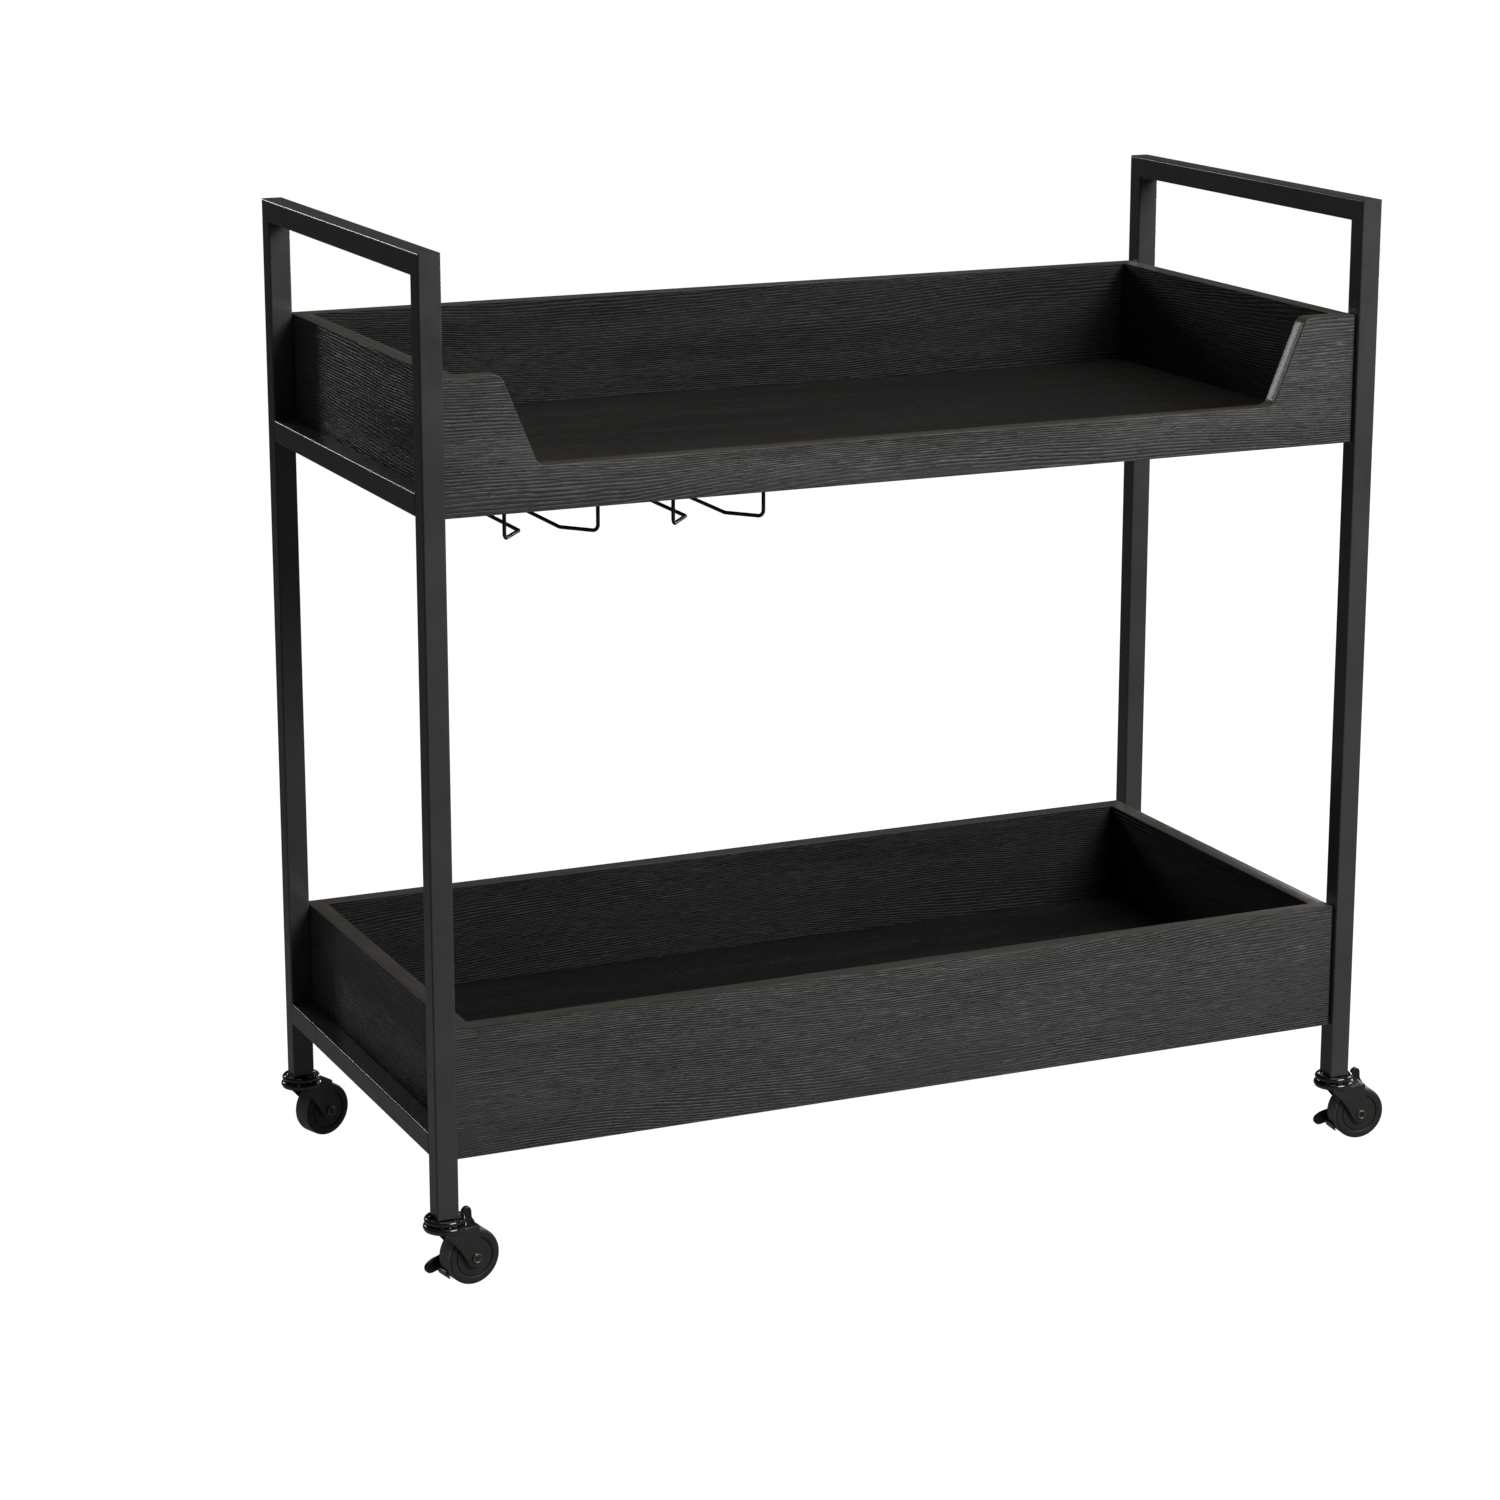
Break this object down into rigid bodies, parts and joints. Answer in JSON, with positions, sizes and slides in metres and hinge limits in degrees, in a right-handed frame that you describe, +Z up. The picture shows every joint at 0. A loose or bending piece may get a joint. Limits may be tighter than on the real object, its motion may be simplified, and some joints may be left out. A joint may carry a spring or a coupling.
{
  "type": "bar cart",
  "caption": "Rolling bar cart: square-tube end frames with handle bars, deep dark laminate trays, a cut-away front wall, a hanging stemware rack and swivel casters, some braked.",
  "frame": {"origin": "middle of the whole footprint on the floor, casters included", "axes": "+X along the width, towards the right end seen from the front; +Y towards the back, away from the cut-away front wall; +Z up"},
  "size_m": [0.916, 0.423, 0.85],
  "materials": {
    "frame_paint": "satin black powder coat with a fine orange-peel texture",
    "laminate_outer": "charcoal wood-grain laminate, low sheen",
    "laminate_inner": "charcoal wood-grain laminate, low sheen",
    "caster_black": "gloss black paint on pressed steel",
    "wheel_plastic": "moulded dark grey plastic",
    "tyre": "dusty dark grey-brown tread",
    "zinc_steel": "zinc plate",
    "beech": "bare beech",
    "lever_plastic": "moulded dark grey plastic",
    "plug_plastic": "moulded black plastic"
  },
  "bodies": {
    "frame": {"left_front_leg": "frame_paint", "left_rear_leg": "frame_paint", "left_handle_bar": "frame_paint", "left_upper_rail": "frame_paint", "left_lower_rail": "frame_paint", "right_front_leg": "frame_paint", "right_rear_leg": "frame_paint", "right_handle_bar": "frame_paint", "right_upper_rail": "frame_paint", "right_lower_rail": "frame_paint", "left_tray_tabs": "frame_paint", "right_tray_tabs": "frame_paint", "leg_inserts": "plug_plastic", "upper_front_panel": "laminate_outer", "upper_back_panel": "laminate_outer", "upper_left_panel": "laminate_outer", "upper_right_panel": "laminate_outer", "upper_bottom_panel": "laminate_inner", "lower_front_panel": "laminate_outer", "lower_back_panel": "laminate_outer", "lower_left_panel": "laminate_outer", "lower_right_panel": "laminate_outer", "lower_bottom_panel": "laminate_inner", "cam_locks": "zinc_steel", "cam_bolts": "zinc_steel", "dowels": "beech", "tab_screws": "zinc_steel", "rack_front_strip": "frame_paint", "rack_rear_strip": "frame_paint", "glass_rail_1": "frame_paint", "glass_rail_2": "frame_paint", "glass_rail_3": "frame_paint", "glass_rail_4": "frame_paint", "rack_screws": "zinc_steel", "caster_stems": "zinc_steel", "caster_nuts": "caster_black", "caster_top_cups": "caster_black", "caster_balls": "zinc_steel"},
    "front_left_swivel": {"front_left_fork": "caster_black", "front_left_axle": "zinc_steel", "front_left_brake_shoe": "frame_paint"},
    "front_left_wheel": {"front_left_wheel_hub": "wheel_plastic", "front_left_tyre": "tyre"},
    "front_left_brake": {"front_left_brake_lever": "lever_plastic"},
    "front_right_swivel": {"front_right_fork": "caster_black", "front_right_axle": "zinc_steel", "front_right_brake_shoe": "frame_paint"},
    "front_right_wheel": {"front_right_wheel_hub": "wheel_plastic", "front_right_tyre": "tyre"},
    "front_right_brake": {"front_right_brake_lever": "lever_plastic"},
    "rear_left_swivel": {"rear_left_fork": "caster_black", "rear_left_axle": "zinc_steel"},
    "rear_left_wheel": {"rear_left_wheel_hub": "wheel_plastic", "rear_left_tyre": "tyre"},
    "rear_right_swivel": {"rear_right_fork": "caster_black", "rear_right_axle": "zinc_steel"},
    "rear_right_wheel": {"rear_right_wheel_hub": "wheel_plastic", "rear_right_tyre": "tyre"}
  },
  "joints": [
    {"name": "front_left_caster_turn", "type": "hinge", "parent": "frame", "child": "front_left_swivel", "pos_m": [-0.43997, -0.19349, 0.054], "axis": [0, 0, 1], "continuous": true},
    {"name": "front_left_wheel_spin", "type": "hinge", "parent": "front_left_swivel", "child": "front_left_wheel", "pos_m": [-0.41781, -0.18959, 0.024], "axis": [-0.1736, 0.9848, 0], "continuous": true},
    {"name": "front_left_brake_press", "type": "hinge", "parent": "front_left_swivel", "child": "front_left_brake", "pos_m": [-0.41781, -0.18959, 0.024], "axis": [0.1736, -0.9848, 0], "range_deg": [0, 20]},
    {"name": "front_right_caster_turn", "type": "hinge", "parent": "frame", "child": "front_right_swivel", "pos_m": [0.41103, -0.19349, 0.054], "axis": [0, 0, 1], "continuous": true},
    {"name": "front_right_wheel_spin", "type": "hinge", "parent": "front_right_swivel", "child": "front_right_wheel", "pos_m": [0.43341, -0.19584, 0.024], "axis": [0.1045, 0.9945, 0], "continuous": true},
    {"name": "front_right_brake_press", "type": "hinge", "parent": "front_right_swivel", "child": "front_right_brake", "pos_m": [0.43341, -0.19584, 0.024], "axis": [-0.1045, -0.9945, 0], "range_deg": [0, 20]},
    {"name": "rear_left_caster_turn", "type": "hinge", "parent": "frame", "child": "rear_left_swivel", "pos_m": [-0.43997, 0.18751, 0.054], "axis": [0, 0, 1], "continuous": true},
    {"name": "rear_left_wheel_spin", "type": "hinge", "parent": "rear_left_swivel", "child": "rear_left_wheel", "pos_m": [-0.41883, 0.1952, 0.024], "axis": [-0.342, 0.9397, 0], "continuous": true},
    {"name": "rear_right_caster_turn", "type": "hinge", "parent": "frame", "child": "rear_right_swivel", "pos_m": [0.41103, 0.18751, 0.054], "axis": [0, 0, 1], "continuous": true},
    {"name": "rear_right_wheel_spin", "type": "hinge", "parent": "rear_right_swivel", "child": "rear_right_wheel", "pos_m": [0.43304, 0.18283, 0.024], "axis": [0.2079, 0.9781, 0], "continuous": true}
  ]
}
